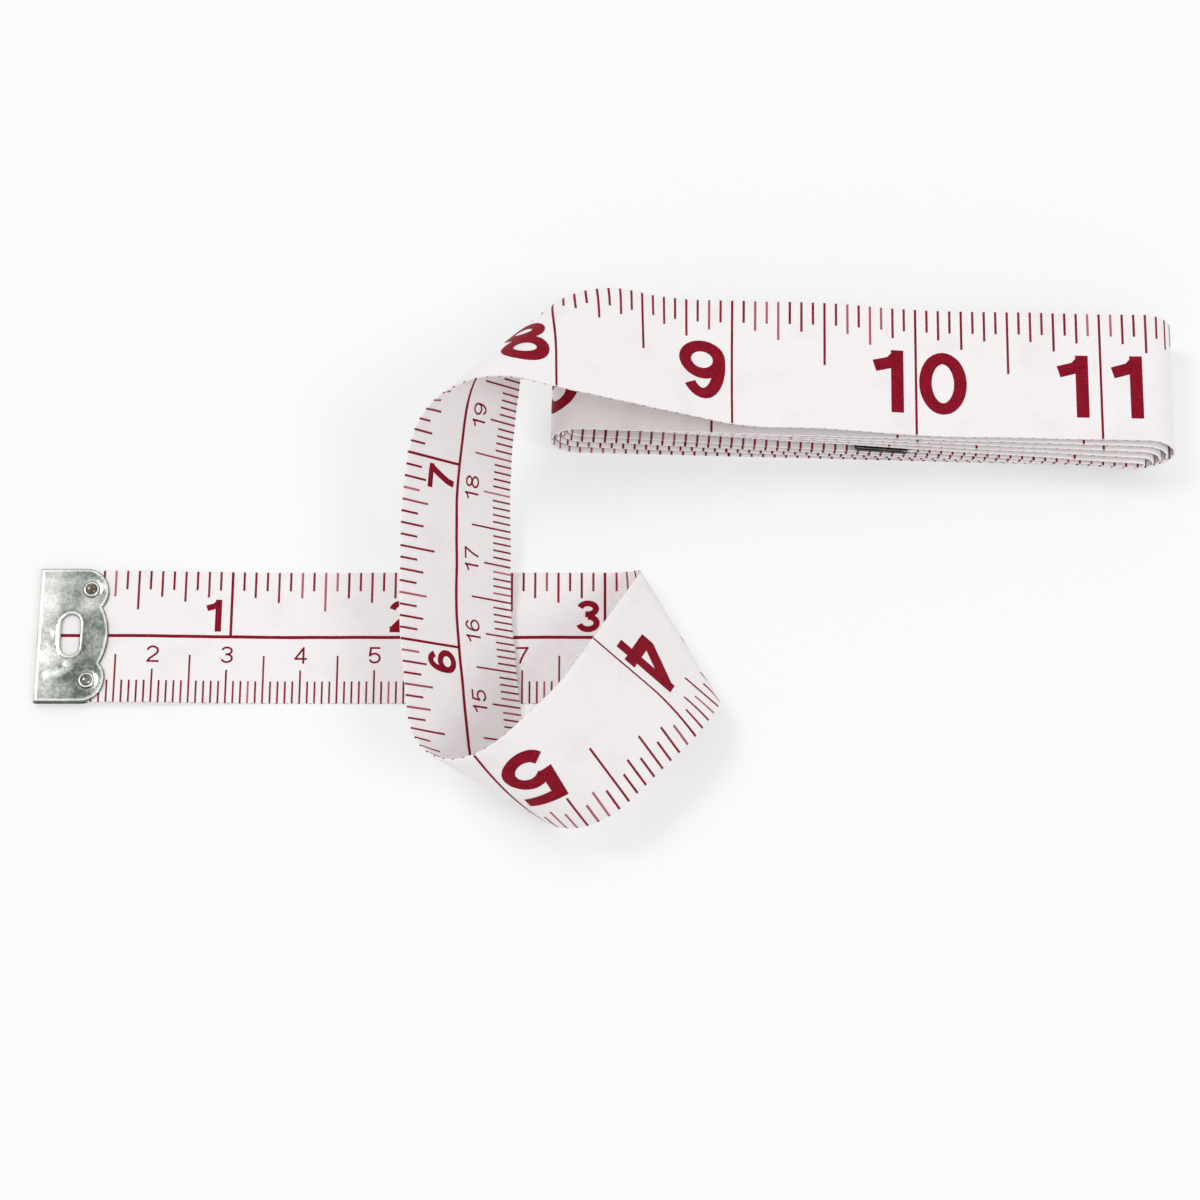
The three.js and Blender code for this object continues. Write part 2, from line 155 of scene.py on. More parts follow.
class FoldedTape:
    """The whole tape: its rolls in order, each with the frame that the rolls before it have made."""

    def __init__(self, height):
        self.rolls = []
        self.frames = [(np.eye(3), np.array([0.0, 0.0, height]))]

    def add(self, at, turn, bend, length):
        roll = Roll(at, turn, bend, length)
        corners = np.vstack([np.zeros(3), np.eye(3)])
        moved = roll.rolled(corners, np.full(4, length))
        step = (moved[1:] - moved[0]).T
        rotation, place = self.frames[-1]
        self.rolls.append(roll)
        self.frames.append((rotation @ step, rotation @ moved[0] + place))

    def height(self, u):
        """Height of the tape's middle line at a place past the last roll so far."""
        rotation, place = self.frames[-1]
        return (rotation @ np.array([u, 0.0, 0.0]) + place)[2]

    def points(self, u, v, n):
        """Real places of flat ones, all as arrays of millimetres."""
        u, v, n = (np.asarray(x, float) for x in np.broadcast_arrays(u, v, n))
        flat = np.stack([u, v, n], axis=1)
        index = np.full(len(u), len(self.rolls))
        for k in reversed(range(len(self.rolls))):
            index[self.rolls[k].past(u, v) <= self.rolls[k].length / 2] = k
        out = np.empty_like(flat)
        for k in np.unique(index):
            chosen = index == k
            places = flat[chosen]
            if k < len(self.rolls):
                places = self.rolls[k].rolled(places, self.rolls[k].past(u[chosen], v[chosen]))
            rotation, place = self.frames[k]
            out[chosen] = places @ rotation.T + place
        return out


def bends_drop(angle, length):
    """Height that two opposite bends lose."""
    return 2 * (length / angle) * (1 - math.cos(angle)) if angle > 0 else 0.0


def lower(tape, drop, at, length, between, side):
    """Two opposite bends that lose a height. Returns the place where the tape is down."""
    size = abs(drop)
    easiest, steepest = 0.0, math.radians(STEEPEST_DESCENT_ANGLE)
    straight = max(between, (size - bends_drop(steepest, length)) / math.sin(steepest))
    for _ in range(LEVELLING_ROUNDS):
        angle = (easiest + steepest) / 2
        if bends_drop(angle, length) + straight * math.sin(angle) < size:
            easiest = angle
        else:
            steepest = angle
    bend = side * math.copysign(math.degrees(steepest), drop)
    tape.add(at, 90, bend, length)
    tape.add(at + length + straight, 90, -bend, length)
    return at + length + straight + length / 2


def level(tape, at, length):
    """One bend about the tape's only level line, which lays its two-scale face flat down."""
    rotation, _ = tape.frames[-1]
    down = rotation.T @ np.array([0.0, 0.0, -1.0])
    turn = math.degrees(math.atan2(down[0], -down[1])) % 360
    sign = -1 if turn < 180 else 1
    tape.add(at, turn % 180, sign * math.degrees(math.acos(down[2])), length)


def turn_radii(count):
    """Radii of the bundle's half turns, from the outermost to the last."""
    inner = [CORE_RADIUS + (count - 2 - index) * LAYER_PITCH / 2 for index in range(count - 1)]
    return inner + [CORE_RADIUS / 2]


def half_arcs(radii):
    """Lengths of tape from the middle of each half turn to the next, without the run between them."""
    return [math.pi * (a + b) / 2 for a, b in zip(radii, radii[1:])]


def pass_run(radii, first_turn_at):
    """Length of the flat runs between the half turns that uses up the tape."""
    room = TAPE_LENGTH - LAST_PASS_RUN - first_turn_at - sum(half_arcs(radii))
    return room / (len(radii) - 1)


def bundle_radii(first_turn_at):
    """Radii for the number of half turns that brings the runs nearest to PASS_RUN."""
    def miss(count):
        return abs(pass_run(turn_radii(count), first_turn_at) - PASS_RUN)

    count = LEAST_TURNS
    while miss(count + 1) < miss(count):
        count += 1
    return turn_radii(count)


def fold_tape():
    tape = FoldedTape(CLIPPED_MIDDLE)
    lower(tape, CLIPPED_MIDDLE - HALF_THICKNESS, side=-1, **CLIP_STEP)
    for roll in (FIRST_FOLD, TWIST_AFTER_FIRST, SECOND_FOLD, LEAN_BACK, CURL_OVER, THIRD_FOLD):
        tape.add(**roll)
    level(tape, **LEVEL_BEND)
    planned = LANDING["at"] + LANDING["between"] + LANDING["length"] * 3 / 2
    radii = bundle_radii(planned + FIRST_TURN_AFTER_LANDING)
    drop = tape.height(LANDING["at"]) - 2 * radii[0] - HALF_THICKNESS
    at = lower(tape, drop, side=1, **LANDING) + FIRST_TURN_AFTER_LANDING
    run = pass_run(radii, at)
    steps = [0] + [arc + run for arc in half_arcs(radii)]
    for index, (radius, step) in enumerate(zip(radii, steps)):
        at += step
        drift = -PASS_DRIFT_ANGLE if index % 2 else PASS_DRIFT_ANGLE
        tape.add(at, 90 + drift, 180, math.pi * radius)
    return tape


tape = fold_tape()
clip_low, clip_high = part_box("start_clip")
origin = np.array([
    clip_low.x,
    (clip_low.y + clip_high.y) / 2,
    (clip_low.z + clip_high.z) / 2 - CLIPPED_MIDDLE * MM,
])


def to_metres(points):
    return points * MM + origin


# Unevenness of the coated cloth: long waves too low for the layers to touch
WAVES = [(0.05, 23.0, 0.0, 0.4), (0.035, 13.7, 9.0, 1.9), (0.02, 7.9, -6.0, 4.2), (0.015, 5.3, 17.0, 2.7)]


def unevenness(u, v):
    """Height of the waves at flat places: amplitude, wavelength, slant in degrees and phase of each."""
    total = np.zeros_like(u)
    for size, wavelength, slant, phase in WAVES:
        along = u * math.cos(math.radians(slant)) + v * math.sin(math.radians(slant))
        total += size * np.sin(2 * math.pi * along / wavelength + phase)
    return total


FLOOR_CLEARANCE = 0.03
LEAST_MIDDLE = HALF_THICKNESS + FLOOR_CLEARANCE


def on_tape(u, v, n):
    """Places of flat points in metres, with the waves outside the clips, and clear of the floor."""
    u, v, n = (np.asarray(x, float) for x in np.broadcast_arrays(u, v, n))
    clipped = np.minimum(u, TAPE_LENGTH - u) - CLIP_LENGTH
    share = np.clip(clipped / CLIP_LENGTH, 0, 1)
    points = np.array(tape.points(u, v, n + share * unevenness(u, v)))
    points[..., 2] = np.maximum(points[..., 2], LEAST_MIDDLE - np.abs(n))
    return to_metres(points)


def mesh_object(name, vertices, faces, material):
    mesh = bpy.data.meshes.new(name)
    mesh.from_pydata([tuple(p) for p in vertices], [], [tuple(int(i) for i in f) for f in faces])
    mesh.materials.append(material)
    mesh.polygons.foreach_set("use_smooth", [True] * len(mesh.polygons))
    mesh.update()
    obj = bpy.data.objects.new(name, mesh)
    bpy.context.scene.collection.objects.link(obj)
    return obj


def add_uv(obj, coordinates):
    """Gives each face corner the flat place of its vertex."""
    layer = obj.data.uv_layers.new(name="flat")
    loops = np.empty(len(obj.data.loops), int)
    obj.data.loops.foreach_get("vertex_index", loops)
    layer.data.foreach_set("uv", coordinates[loops].astype(np.float32).ravel())


def add_attribute(obj, name, values):
    """Gives each vertex a number that its material reads."""
    attribute = obj.data.attributes.new(name, "FLOAT", "POINT")
    attribute.data.foreach_set("value", np.array(values, np.float32))


# Materials. Noise scales are per millimetre on the cloth and per metre on the metal.

def node_material(name):
    material = bpy.data.materials.new(name)
    material.use_nodes = True
    nodes, links = material.node_tree.nodes, material.node_tree.links
    return material, nodes, links, nodes["Principled BSDF"]


def math_node(nodes, links, operation, first, second):
    node = nodes.new("ShaderNodeMath")
    node.operation = operation
    for socket, value in zip(node.inputs, (first, second)):
        if isinstance(value, (int, float)):
            socket.default_value = value
        else:
            links.new(value, socket)
    return node.outputs[0]


def mix_colours(nodes, links, factor, first, second):
    node = nodes.new("ShaderNodeMix")
    node.data_type = "RGBA"
    for socket, value in ((node.inputs[0], factor), (node.inputs[6], first), (node.inputs[7], second)):
        if isinstance(value, (int, float)):
            socket.default_value = value
        elif isinstance(value, tuple):
            socket.default_value = (*value, 1)
        else:
            links.new(value, socket)
    return node.outputs[2]


def noise_node(nodes, links, vector, scale, detail=3.0):
    node = nodes.new("ShaderNodeTexNoise")
    node.inputs["Scale"].default_value = scale
    node.inputs["Detail"].default_value = detail
    links.new(vector, node.inputs["Vector"])
    return node.outputs["Fac"]


def ramp_node(nodes, links, value, low, high):
    node = nodes.new("ShaderNodeMapRange")
    node.inputs["From Min"].default_value = low
    node.inputs["From Max"].default_value = high
    node.clamp = True
    links.new(value, node.inputs["Value"])
    return node.outputs["Result"]


def bump_node(nodes, links, height, distance, strength=1.0):
    node = nodes.new("ShaderNodeBump")
    node.inputs["Strength"].default_value = strength
    node.inputs["Distance"].default_value = distance
    links.new(height, node.inputs["Height"])
    return node.outputs["Normal"]


def attribute_node(nodes, name):
    node = nodes.new("ShaderNodeAttribute")
    node.attribute_name = name
    return node.outputs["Fac"]


def seen_or_mirrored(nodes, links):
    """1 for the camera's own rays and for those that gloss sends on, and 0 for the rest."""
    rays = nodes.new("ShaderNodeLightPath")
    return math_node(nodes, links, "MAXIMUM", rays.outputs["Is Camera Ray"], rays.outputs["Is Glossy Ray"])


CLOTH_WHITE = (0.955, 0.920, 0.922)
CLOTH_PINK = (0.90, 0.83, 0.84)
CLOTH_CLOUDS = 0.16
CLOTH_STAINS = (0.52, 0.80)
CLOTH_GRAIN = 3.5
GRAIN_REACH = 0.9
GRAIN_SHADE = 0.13
GRAIN_HEIGHT = 1.4
CLOTH_ROUGHNESS = 0.38
ROUGHER_CLOUDS = 0.2
CLOTH_SPECULAR = 0.2
INK_DARK = (0.205, 0.002, 0.012)
INK_RED = (0.285, 0.003, 0.019)
INK_FADED = (0.62, 0.22, 0.26)
INK_BLOTCHES = 0.9
INK_BLENDING = (0.35, 0.65)
INK_WEAR = 5.0
INK_WORN_SPOTS = (0.45, 0.75)
INK_WORN_SHARE = 0.12
INK_ROUGHNESS = 0.42
INK_SPECULAR = 0.03
THREAD_PITCH = 0.42
THREAD_DEPTH = 0.014


def weave(nodes, links):
    """Height of a plain weave from the flat coordinates in millimetres, and those coordinates."""
    uv = nodes.new("ShaderNodeUVMap")
    uv.uv_map = "flat"
    split = nodes.new("ShaderNodeSeparateXYZ")
    links.new(uv.outputs["UV"], split.inputs[0])
    waves = []
    for axis in ("X", "Y"):
        phase = math_node(nodes, links, "MULTIPLY", split.outputs[axis], 2 * math.pi / THREAD_PITCH)
        waves.append(math_node(nodes, links, "SINE", phase, 0.0))
    product = math_node(nodes, links, "MULTIPLY", waves[0], waves[1])
    return product, uv.outputs["UV"]


def cloth_material():
    material, nodes, links, shader = node_material("vinyl_coated_cloth")
    threads, flat = weave(nodes, links)
    cloudy = noise_node(nodes, links, flat, CLOTH_CLOUDS, 4.0)
    fine = noise_node(nodes, links, flat, CLOTH_GRAIN, 2.0)
    stains = ramp_node(nodes, links, cloudy, *CLOTH_STAINS)
    base = mix_colours(nodes, links, stains, CLOTH_WHITE, CLOTH_PINK)
    rough_threads = math_node(nodes, links, "MULTIPLY", threads, fine)
    grain = ramp_node(nodes, links, rough_threads, -GRAIN_REACH, GRAIN_REACH)
    hollows = math_node(nodes, links, "SUBTRACT", 1.0, grain)
    shade = math_node(nodes, links, "MULTIPLY", hollows, GRAIN_SHADE)
    links.new(mix_colours(nodes, links, shade, base, CLOTH_PINK), shader.inputs["Base Color"])
    uneven = math_node(nodes, links, "MULTIPLY", cloudy, ROUGHER_CLOUDS)
    links.new(math_node(nodes, links, "ADD", uneven, CLOTH_ROUGHNESS), shader.inputs["Roughness"])
    raised = math_node(nodes, links, "MULTIPLY", fine, GRAIN_HEIGHT)
    height = math_node(nodes, links, "ADD", threads, raised)
    links.new(bump_node(nodes, links, height, THREAD_DEPTH * MM), shader.inputs["Normal"])
    shader.inputs["Specular IOR Level"].default_value = CLOTH_SPECULAR
    return material


def ink_material():
    material, nodes, links, shader = node_material("crimson_ink")
    threads, flat = weave(nodes, links)
    blotches = noise_node(nodes, links, flat, INK_BLOTCHES, 4.0)
    redder = ramp_node(nodes, links, blotches, *INK_BLENDING)
    colour = mix_colours(nodes, links, redder, INK_DARK, INK_RED)
    fading = attribute_node(nodes, "fading")
    wear = noise_node(nodes, links, flat, INK_WEAR, 2.0)
    spots = ramp_node(nodes, links, wear, *INK_WORN_SPOTS)
    brightness = math_node(nodes, links, "MULTIPLY", spots, INK_WORN_SHARE)
    faded = math_node(nodes, links, "ADD", fading, brightness)
    links.new(mix_colours(nodes, links, faded, colour, INK_FADED), shader.inputs["Base Color"])
    shader.inputs["Roughness"].default_value = INK_ROUGHNESS
    shader.inputs["Specular IOR Level"].default_value = INK_SPECULAR
    links.new(bump_node(nodes, links, threads, THREAD_DEPTH * MM), shader.inputs["Normal"])
    return material


SPANGLES = 420.0
SPECKS = 2600.0
SPANGLE_CONTRAST = 1.2
SPECK_CONTRAST = 0.7
SPANGLE_DEPTH = 0.06
SPANGLE_STRENGTH = 0.6


def tinned_material(name, dark, bright, low_rough, high_rough):
    """Sheet metal with cloudy spangles, fine specks and small dents, brighter or darker by a per-vertex
    brightness that holds its tone with painted highlights, a painted reflection and painted shade.
    """
    material, nodes, links, shader = node_material(name)
    place = nodes.new("ShaderNodeTexCoord").outputs["Object"]
    clouds = noise_node(nodes, links, place, SPANGLES, 6.0)
    specks = noise_node(nodes, links, place, SPECKS, 3.0)
    # Per-vertex brightness: the tone with painted highlights, a painted reflection and painted shade
    blend = attribute_node(nodes, "brightness")
    for pattern, contrast in ((clouds, SPANGLE_CONTRAST), (specks, SPECK_CONTRAST)):
        centred = math_node(nodes, links, "SUBTRACT", pattern, 0.5)
        blend = math_node(nodes, links, "ADD", blend, math_node(nodes, links, "MULTIPLY", centred, contrast))
    links.new(mix_colours(nodes, links, blend, dark, bright), shader.inputs["Base Color"])
    rough = math_node(nodes, links, "MULTIPLY", specks, high_rough - low_rough)
    links.new(math_node(nodes, links, "ADD", rough, low_rough), shader.inputs["Roughness"])
    shader.inputs["Metallic"].default_value = 1.0
    dents = bump_node(nodes, links, clouds, SPANGLE_DEPTH * MM, SPANGLE_STRENGTH)
    links.new(dents, shader.inputs["Normal"])
    return material


AMBIENT = 0.66
FLOOR_WHITE = 0.97
FLOOR_ROUGHNESS = 0.9
FLOOR_SPECULAR = 0.1
FLOOR_GLOW_SHARE = 0.42


def floor_material():
    """White paper that the camera and metal see a little brighter, with its shadows kept."""
    material, nodes, links, shader = node_material("white_floor")
    shader.inputs["Base Color"].default_value = (FLOOR_WHITE, FLOOR_WHITE, FLOOR_WHITE, 1)
    shader.inputs["Roughness"].default_value = FLOOR_ROUGHNESS
    shader.inputs["Specular IOR Level"].default_value = FLOOR_SPECULAR
    glow = nodes.new("ShaderNodeEmission")
    glow.inputs["Strength"].default_value = 1.0
    mix = nodes.new("ShaderNodeMixShader")
    seen = seen_or_mirrored(nodes, links)
    links.new(math_node(nodes, links, "MULTIPLY", seen, FLOOR_GLOW_SHARE), mix.inputs[0])
    links.new(shader.outputs[0], mix.inputs[1])
    links.new(glow.outputs[0], mix.inputs[2])
    links.new(mix.outputs[0], nodes["Material Output"].inputs["Surface"])
    return material


cloth = cloth_material()
ink = ink_material()
tinned = tinned_material("tinned_steel", (0.12, 0.14, 0.125), (0.84, 0.86, 0.80), 0.12, 0.24)
# A darker copy of the tin for the end clip, painted dark as shade
tin_in_painted_shade = tinned_material("painted_shade_tin", (0.035, 0.037, 0.033), (0.55, 0.56, 0.52), 0.16, 0.30)
rivet_steel = tinned_material("rivet_steel", (0.11, 0.10, 0.08), (0.90, 0.88, 0.83), 0.12, 0.26)


# The strip

STRIP_STEP_ANGLE = 4
STRIP_STEP = 1.6
FACE_COLUMNS = 18
ROUND_STEPS = 3


def strip_rulings():
    """Lines across the tape, at + slope * v, close together on its bends."""
    rulings = [(TAPE_END_INSET, 0.0)]
    for roll in tape.rolls:
        steps = max(2, math.ceil(abs(math.degrees(roll.bend)) / STRIP_STEP_ANGLE))
        for share in np.linspace(-1 / 2, 1 / 2, steps + 1):
            rulings.append((roll.origin[0] + share * roll.length / roll.onward[0], roll.slope()))
    rulings.append((TAPE_LENGTH - TAPE_END_INSET, 0.0))
    filled = [rulings[0]]
    for (a, s), (b, t) in zip(rulings, rulings[1:]):
        longest = b - a + abs(t - s) * HALF_WIDTH
        count = max(1, math.ceil(longest / STRIP_STEP))
        filled += [(a + (b - a) * k / count, s + (t - s) * k / count) for k in range(1, count + 1)]
    return np.array(filled)


def strip_section():
    """The strip's section, a long thin rectangle with rounded edges, as (v, n) places in a ring."""
    ring = []
    centre = HALF_WIDTH - EDGE_ROUND
    for side in (1, -1):
        across = np.linspace(-side * centre, side * centre, FACE_COLUMNS + 1)[:-1]
        ring += [(v, side * HALF_THICKNESS) for v in across]
        for start in (90, 0):
            height = (HALF_THICKNESS - EDGE_ROUND) * (1 if start else -1)
            for step in range(ROUND_STEPS + 1):
                angle = math.radians(start - 90 * step / ROUND_STEPS)
                v = centre + EDGE_ROUND * math.cos(angle)
                n = height + EDGE_ROUND * math.sin(angle)
                ring.append((side * v, side * n))
    return np.array(ring)


def build_strip():
    rulings, section = strip_rulings(), strip_section()
    rows, size = len(rulings), len(section)
    v = np.tile(section[:, 0], rows)
    n = np.tile(section[:, 1], rows)
    u = np.repeat(rulings[:, 0], size) + np.repeat(rulings[:, 1], size) * v
    corner = np.arange(size)
    faces = []
    for row in range(rows - 1):
        a, b = row * size + corner, row * size + (corner + 1) % size
        faces += np.stack([a, a + size, b + size, b], axis=1).tolist()
    faces.append(list(range(size)))
    faces.append(list(range(rows * size - 1, (rows - 1) * size - 1, -1)))
    strip = mesh_object("printed_cloth_strip", on_tape(u, v, n), faces, cloth)
    add_uv(strip, np.stack([u, v], axis=1))
    return strip


# The print. Every mark is a thin film of ink on the strip, made of small quads in flat places.

FILM = 0.018
QUAD_SIZE = 0.45
INCH_ZERO = 0.8
CM_ZERO = -4.2
SIXTEENTHS = 16
FADED_SHARE = 0.12
FADED = (0.35, 0.7)
FRESH = (0, 0.12)

random.seed(40)


def stroke(path, width, step):
    """A line of a constant width along a path of places, as a grid of places a step apart."""
    path = np.asarray(path, float)
    lengths = np.linalg.norm(np.diff(path, axis=0), axis=1)
    reached = np.concatenate([[0], np.cumsum(lengths)])
    count = max(2, math.ceil(reached[-1] / step) + 1, len(path))
    fine = np.linspace(0, reached[-1], count)
    line = np.stack([np.interp(fine, reached, path[:, k]) for k in (0, 1)], axis=1)
    along = np.gradient(line, axis=0)
    if np.allclose(line[0], line[-1]):
        along[0] = along[-1] = line[1] - line[-2]
    along /= np.linalg.norm(along, axis=1)[:, None]
    beside = np.stack([-along[:, 1], along[:, 0]], axis=1)
    offsets = np.linspace(-width / 2, width / 2, max(2, math.ceil(width / step) + 1))
    return line[:, None, :] + offsets[None, :, None] * beside[:, None, :]


class Print:
    """Collects the film's quads on one face of the tape. side is 1 on the two-scale face."""

    def __init__(self, side):
        self.side = side
        self.u, self.v, self.n, self.fading, self.faces = [], [], [], [], []

    def grid(self, u, v, n, fading):
        """u, v and n are arrays of rows and columns."""
        start, (rows, columns) = len(self.u), u.shape
        self.u += u.ravel().tolist()
        self.v += v.ravel().tolist()
        self.n += n.ravel().tolist()
        self.fading += [fading] * u.size
        for row in range(rows - 1):
            for column in range(columns - 1):
                a = start + row * columns + column
                self.faces.append([a, a + 1, a + columns + 1, a + columns])

    def band(self, places, fading=0.0):
        """A grid of (u, v) places on the face."""
        lift = np.full(places.shape[:2], self.side * (HALF_THICKNESS + FILM))
        self.grid(places[..., 0], places[..., 1], lift, fading)

    def edge_tick(self, at, edge, length, width, fading=0.0):
        """A tick that starts on the strip's cut edge, turns over it and runs inwards."""
        face = HALF_THICKNESS + FILM
        rim = HALF_WIDTH + FILM
        corner = EDGE_ROUND * (1 - math.sqrt(1 / 2))
        profile = [(rim, 0.0), (rim, face - EDGE_ROUND), (rim - corner, face - corner)]
        profile += [(rim - EDGE_ROUND, face)]
        count = max(2, math.ceil(length / QUAD_SIZE) + 1)
        profile += [(d, face) for d in np.linspace(rim - EDGE_ROUND, rim - length, count)[1:]]
        profile = np.array(profile)
        u = np.array([[at - width / 2, at + width / 2]] * len(profile))
        v = np.repeat(edge * profile[:, :1], 2, axis=1)
        n = np.repeat(self.side * profile[:, 1:], 2, axis=1)
        self.grid(u, v, n, fading)

    def build(self, name):
        u, v, n = np.array(self.u), np.array(self.v), np.array(self.n)
        film = mesh_object(name, on_tape(u, v, n), self.faces, ink)
        add_uv(film, np.stack([u, v], axis=1))
        add_attribute(film, "fading", self.fading)
        return film


def arc(centre, radii, start, end, steps=14):
    angles = np.radians(np.linspace(start, end, steps + 1))
    return [(centre[0] + radii[0] * math.cos(a), centre[1] + radii[1] * math.sin(a)) for a in angles]


FIGURE_WIDTH = 0.70
FIGURE_ADVANCE = 0.79


def figure_strokes(figure, pen):
    """The strokes of a plain figure one unit tall, as paths of the pen's middle."""
    low, high = pen / 2, 1 - pen / 2
    wide = FIGURE_WIDTH
    left, right = pen / 2, wide - pen / 2
    middle = wide / 2
    half = (right - left) / 2
    if figure == "0":
        return [arc((middle, 1 / 2), (half, high - 1 / 2), 90, 450, 28)]
    if figure == "1":
        stem = 0.47
        flag = [(stem, high), (stem - 0.10, 0.80), (0.13, 0.73)]
        return [[(stem, 1), (stem, 0)], flag]
    if figure == "2":
        crown = arc((middle, 0.69), (half, high - 0.69), 172, -38, 16)
        return [crown + [(left + 0.10, 0.20), (left + 0.02, low)], [(0.02, low), (wide, low)]]
    if figure == "3":
        upper = arc((middle, 0.735), (half - 0.02, high - 0.735), 165, -90, 14)
        lower_bowl = arc((middle, 0.29), (half, 0.29 - low), 90, -168, 16)
        return [upper + [(middle - 0.08, 0.735 - (high - 0.735))], lower_bowl]
    if figure == "4":
        stem = wide - 0.20
        return [[(stem, 0), (stem, 1)], [(0, 0.29), (wide, 0.29)], [(stem, high), (0.05, 0.31)]]
    if figure == "5":
        bowl = arc((middle, 0.33), (half, 0.33 - low), 140, -160, 18)
        return [[(wide - 0.04, high), (0.12, high)], [(0.15, 1), (left + 0.02, 0.44)], bowl]
    if figure == "6":
        bowl = arc((middle, 0.325), (half, 0.325 - low), 0, 360, 26)
        back = arc((middle, 0.42), (half, high - 0.42), 42, 180, 18)
        return [bowl, back + [(left, 0.325)]]
    if figure == "7":
        return [[(0, high), (wide, high)], [(right, high), (0.42, 0.55), (0.27, 0.22), (0.23, 0)]]
    if figure == "8":
        upper = arc((middle, 0.745), (half - 0.035, high - 0.745), 0, 360, 24)
        return [upper, arc((middle, 0.285), (half, 0.285 - low), 0, 360, 26)]
    return [[(wide - x, 1 - y) for x, y in path] for path in figure_strokes("6", pen)]


def write_number(film, number, start, foot, height, pen, along, up, fading=0.0):
    """Writes a number from a flat place. along and up are 1 or -1: the way it reads and its tops."""
    for place, figure in enumerate(str(number)):
        corner = np.array([start + along * height * place * FIGURE_ADVANCE, foot])
        for path in figure_strokes(figure, pen):
            places = stroke(path, pen, QUAD_SIZE / height)
            places = np.clip(places, (0, 0), (FIGURE_WIDTH, 1))
            film.band(corner + height * places * (along, up), fading)


def number_width(number, height):
    return height * (FIGURE_WIDTH + FIGURE_ADVANCE * (len(str(number)) - 1))


def some_fading():
    """How faded a tick is: a few of them much, the rest hardly."""
    return random.uniform(*(FADED if random.random() < FADED_SHARE else FRESH))


def sixteenth_rank(count):
    """0 on an inch, 1 on a half, 2 on a quarter, 3 on an eighth, 4 on a sixteenth."""
    for rank, part in enumerate((16, 8, 4, 2)):
        if count % part == 0:
            return rank
    return 4


# Both scales: inches on one edge, centimetres on the other, and a line between them
INCH_TICK_SHARES = {1: 0.30, 2: 0.235, 3: 0.20, 4: 0.145}
INCH_TICK_WIDTH = 0.30
INCH_LINE_WIDTH = 0.36
CENTRE_LINE_WIDTH = 0.45
INCH_FIGURE_HEIGHT = 4.65
INCH_FIGURE_FOOT = 0.75
INCH_FIGURE_GAP = 0.7
BOLD_PEN = 0.185
CM = 10
MM_TICK_SHARE = 0.165
CM_TICK_SHARE = 0.25
HALF_CM_TICK_SHARE = 0.36
MM_TICK_WIDTH = 0.25
CM_FIGURE_HEIGHT = 2.4
CM_FIGURE_FOOT = -3.8
THIN_PEN = 0.115


def print_two_scales():
    film = Print(1)
    end = TAPE_LENGTH - TAPE_END_INSET
    film.band(stroke([(TAPE_END_INSET, 0), (end, 0)], CENTRE_LINE_WIDTH, QUAD_SIZE))
    for count in range(int((end - INCH_ZERO) / INCH * SIXTEENTHS) + 1):
        at = INCH_ZERO + count * INCH / SIXTEENTHS
        rank = sixteenth_rank(count)
        if rank == 0:
            film.edge_tick(at, 1, HALF_WIDTH, INCH_LINE_WIDTH)
        else:
            film.edge_tick(at, 1, INCH_TICK_SHARES[rank] * TAPE_WIDTH, INCH_TICK_WIDTH, some_fading())
    for inch in range(1, int((end - INCH_ZERO) / INCH) + 1):
        width = number_width(inch, INCH_FIGURE_HEIGHT)
        start = INCH_ZERO + inch * INCH - INCH_FIGURE_GAP - width
        write_number(film, inch, start, INCH_FIGURE_FOOT, INCH_FIGURE_HEIGHT, BOLD_PEN, 1, 1)
    for count in range(math.ceil(TAPE_END_INSET - CM_ZERO), int(end - CM_ZERO) + 1):
        at = CM_ZERO + count
        share = MM_TICK_SHARE
        if count % CM == 0:
            share = CM_TICK_SHARE
        elif count % CM == CM / 2:
            share = HALF_CM_TICK_SHARE
        film.edge_tick(at, -1, share * TAPE_WIDTH, MM_TICK_WIDTH, some_fading())
    for centimetre in range(2, int((end - CM_ZERO) / CM) + 1):
        width = number_width(centimetre, CM_FIGURE_HEIGHT)
        start = CM_ZERO + centimetre * CM - width / 2
        write_number(film, centimetre, start, CM_FIGURE_FOOT, CM_FIGURE_HEIGHT, THIN_PEN, 1, 1)
    return film.build("ink_inches_and_centimetres")


# The back: inches alone, in tall figures that straddle the line from ten on
BACK_TICK_SHARES = {1: 0.50, 2: 0.31, 3: 0.24, 4: 0.18}
BACK_TICK_WIDTH = 0.32
BACK_FIGURE_HEIGHT = 9.4
BACK_FIGURE_HEAD = -3.1
BACK_FIGURE_GAP = 0.9


def print_inches_only():
    film = Print(-1)
    end = TAPE_LENGTH - TAPE_END_INSET
    for count in range(int((end - INCH_ZERO) / INCH * SIXTEENTHS) + 1):
        at = INCH_ZERO + count * INCH / SIXTEENTHS
        rank = sixteenth_rank(count)
        length = TAPE_WIDTH if rank == 0 else BACK_TICK_SHARES[rank] * TAPE_WIDTH
        film.edge_tick(at, -1, length, BACK_TICK_WIDTH, 0.0 if rank == 0 else some_fading())
    for inch in range(1, int((end - INCH_ZERO) / INCH) + 1):
        line = INCH_ZERO + inch * INCH
        width = number_width(inch, BACK_FIGURE_HEIGHT)
        start = line - BACK_FIGURE_GAP - width if inch < 10 else line - width / 2
        foot = BACK_FIGURE_HEAD + BACK_FIGURE_HEIGHT
        write_number(film, inch, start, foot, BACK_FIGURE_HEIGHT, BOLD_PEN, 1, -1)
    return film.build("ink_inches_on_the_back")


strip = build_strip()
inks = [print_two_scales(), print_inches_only()]
for piece in [strip, *inks]:
    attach(piece, "root")
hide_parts("tape_loose_run", "tape_folded_bundle")


# The start clip: pressed sheet with rolled edges, a beaded slot, dimples round its rivets and dents

